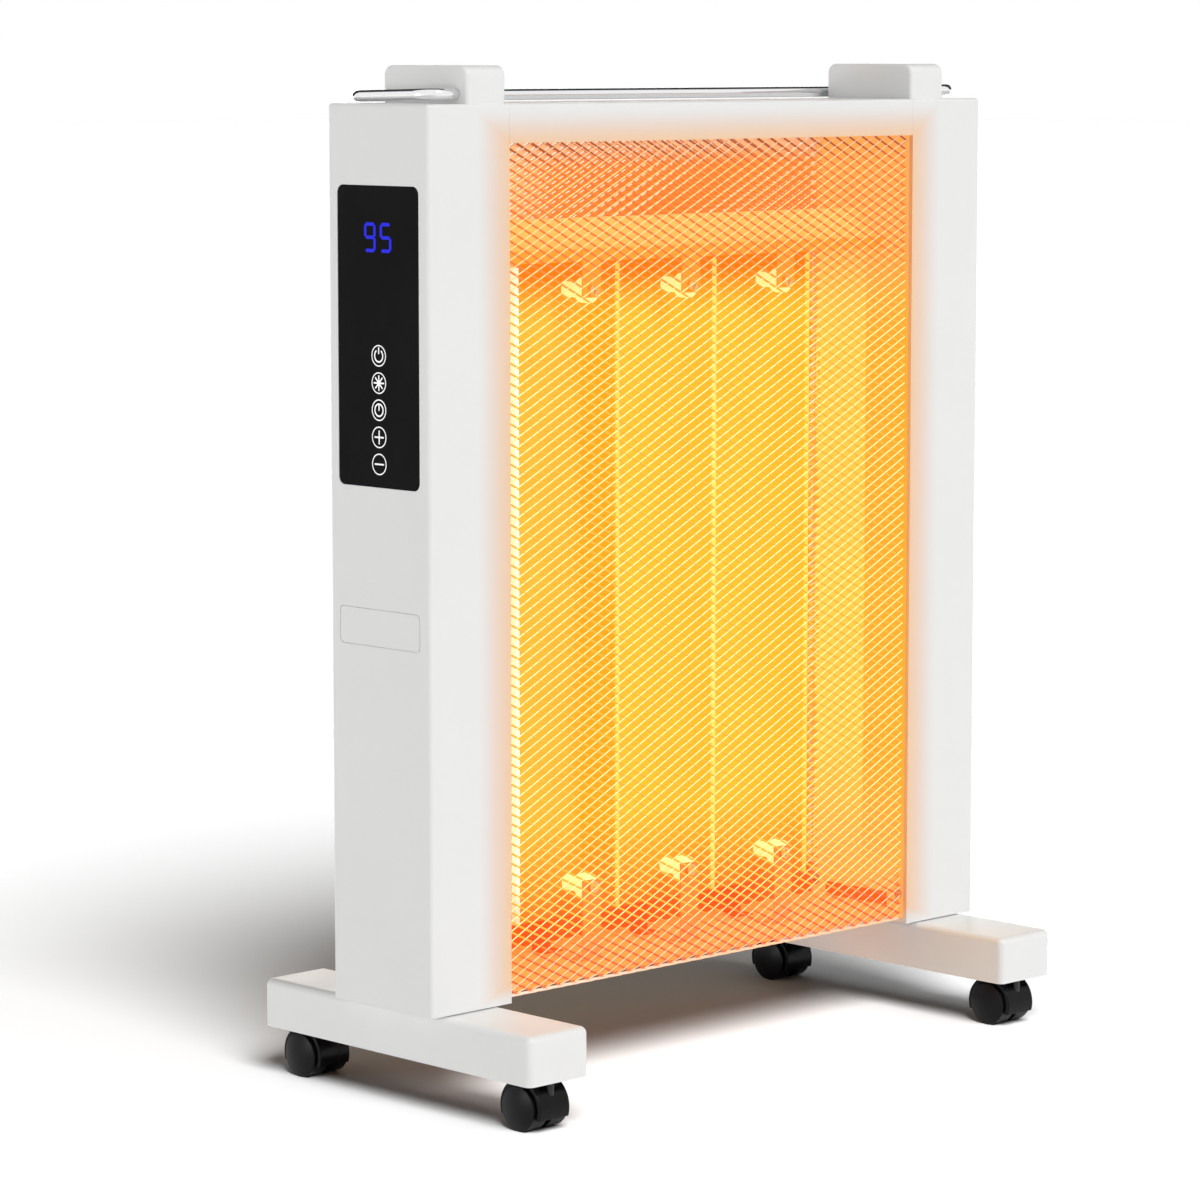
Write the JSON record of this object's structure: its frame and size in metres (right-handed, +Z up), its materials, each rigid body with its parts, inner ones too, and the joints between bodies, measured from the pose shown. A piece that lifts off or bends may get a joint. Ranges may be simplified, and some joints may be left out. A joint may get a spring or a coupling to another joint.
{
  "type": "convection heater",
  "caption": "Free-standing convection heater with mesh grilles, touch panel, mica heating panels, castered feet and a fold-over towel rail.",
  "frame": {"origin": "on the floor, under the middle of the heater's bounding box", "axes": "+X along the heater, to the right as seen from the front; the front faces -Y; +Z up"},
  "size_m": [0.502, 0.249, 0.6464],
  "materials": {
    "white_plastic": "satin",
    "rail_chrome": "polished",
    "plated_steel": "satin",
    "bearing_plastic": "satin",
    "clear_rubber": "matte",
    "sheet_paint": "satin",
    "grille_paint": "satin",
    "mica": "matte",
    "channel_steel": "satin",
    "insulator_ceramic": "satin",
    "touch_glass": "gloss",
    "black_plastic": "satin",
    "circuit_board": "satin",
    "cutout_metal": "satin",
    "black_rubber": "matte",
    "lead_sleeve": "matte",
    "caster_plastic": "satin"
  },
  "bodies": {
    "heater": {"back_grille": "grille_paint", "badge_plate": "white_plastic", "board_components": "black_plastic", "bottom_tray": "sheet_paint", "centre_mica_panel": "mica", "ceramic_insulators": "insulator_ceramic", "cord_gland": "black_plastic", "display_module": "black_plastic", "element_wiring": "lead_sleeve", "foot_screws": "plated_steel", "front_grille": "grille_paint", "insulator_studs": "plated_steel", "left_column_shell": "white_plastic", "left_foot": "white_plastic", "left_inner_plate": "sheet_paint", "left_mica_panel": "mica", "left_rail_block": "white_plastic", "lower_hangers": "sheet_paint", "panel_edge_channels": "channel_steel", "plate_screws": "plated_steel", "power_board": "circuit_board", "rail_pivot_bushes": "bearing_plastic", "rail_rest_pads": "clear_rubber", "right_column_shell": "white_plastic", "right_foot": "white_plastic", "right_inner_plate": "sheet_paint", "right_mica_panel": "mica", "right_rail_block": "white_plastic", "room_sensor": "black_plastic", "thermal_cutout": "cutout_metal", "tip_over_switch": "black_plastic", "top_beam": "white_plastic", "touch_board": "circuit_board", "touch_key_pads": "bearing_plastic", "touch_panel_glass": "touch_glass", "upper_cross_member": "sheet_paint", "wire_grommet": "black_rubber"},
    "rail": {"towel_rail": "rail_chrome", "rail_clips": "plated_steel"},
    "front_left_caster": {"front_left_caster_hood": "caster_plastic", "front_left_caster_stem": "plated_steel", "front_left_caster_axle": "plated_steel"},
    "front_left_wheel_left": {"front_left_caster_wheel_left": "caster_plastic"},
    "front_left_wheel_right": {"front_left_caster_wheel_right": "caster_plastic"},
    "front_right_caster": {"front_right_caster_hood": "caster_plastic", "front_right_caster_stem": "plated_steel", "front_right_caster_axle": "plated_steel"},
    "front_right_wheel_left": {"front_right_caster_wheel_left": "caster_plastic"},
    "front_right_wheel_right": {"front_right_caster_wheel_right": "caster_plastic"},
    "rear_left_caster": {"rear_left_caster_hood": "caster_plastic", "rear_left_caster_stem": "plated_steel", "rear_left_caster_axle": "plated_steel"},
    "rear_left_wheel_left": {"rear_left_caster_wheel_left": "caster_plastic"},
    "rear_left_wheel_right": {"rear_left_caster_wheel_right": "caster_plastic"},
    "rear_right_caster": {"rear_right_caster_hood": "caster_plastic", "rear_right_caster_stem": "plated_steel", "rear_right_caster_axle": "plated_steel"},
    "rear_right_wheel_left": {"rear_right_caster_wheel_left": "caster_plastic"},
    "rear_right_wheel_right": {"rear_right_caster_wheel_right": "caster_plastic"}
  },
  "joints": [
    {"name": "rail_swing", "type": "hinge", "parent": "heater", "child": "rail", "pos_m": [0, -0.033, 0.6292], "axis": [1, 0, 0], "range_deg": [0, 180]},
    {"name": "front_left_swivel", "type": "hinge", "parent": "heater", "child": "front_left_caster", "pos_m": [-0.2175, -0.116, 0.0323], "axis": [0, 0, 1], "continuous": true},
    {"name": "front_left_wheel_left_spin", "type": "hinge", "parent": "front_left_caster", "child": "front_left_wheel_left", "pos_m": [-0.226, -0.1025, 0.0143], "axis": [1, 0, 0], "continuous": true},
    {"name": "front_left_wheel_right_spin", "type": "hinge", "parent": "front_left_caster", "child": "front_left_wheel_right", "pos_m": [-0.209, -0.1025, 0.0143], "axis": [1, 0, 0], "continuous": true},
    {"name": "front_right_swivel", "type": "hinge", "parent": "heater", "child": "front_right_caster", "pos_m": [0.2175, -0.116, 0.0323], "axis": [0, 0, 1], "continuous": true},
    {"name": "front_right_wheel_left_spin", "type": "hinge", "parent": "front_right_caster", "child": "front_right_wheel_left", "pos_m": [0.209, -0.1025, 0.0143], "axis": [1, 0, 0], "continuous": true},
    {"name": "front_right_wheel_right_spin", "type": "hinge", "parent": "front_right_caster", "child": "front_right_wheel_right", "pos_m": [0.226, -0.1025, 0.0143], "axis": [1, 0, 0], "continuous": true},
    {"name": "rear_left_swivel", "type": "hinge", "parent": "heater", "child": "rear_left_caster", "pos_m": [-0.2175, 0.116, 0.0323], "axis": [0, 0, 1], "continuous": true},
    {"name": "rear_left_wheel_left_spin", "type": "hinge", "parent": "rear_left_caster", "child": "rear_left_wheel_left", "pos_m": [-0.226, 0.1025, 0.0143], "axis": [1, 0, 0], "continuous": true},
    {"name": "rear_left_wheel_right_spin", "type": "hinge", "parent": "rear_left_caster", "child": "rear_left_wheel_right", "pos_m": [-0.209, 0.1025, 0.0143], "axis": [1, 0, 0], "continuous": true},
    {"name": "rear_right_swivel", "type": "hinge", "parent": "heater", "child": "rear_right_caster", "pos_m": [0.2175, 0.116, 0.0323], "axis": [0, 0, 1], "continuous": true},
    {"name": "rear_right_wheel_left_spin", "type": "hinge", "parent": "rear_right_caster", "child": "rear_right_wheel_left", "pos_m": [0.209, 0.1025, 0.0143], "axis": [1, 0, 0], "continuous": true},
    {"name": "rear_right_wheel_right_spin", "type": "hinge", "parent": "rear_right_caster", "child": "rear_right_wheel_right", "pos_m": [0.226, 0.1025, 0.0143], "axis": [1, 0, 0], "continuous": true}
  ]
}
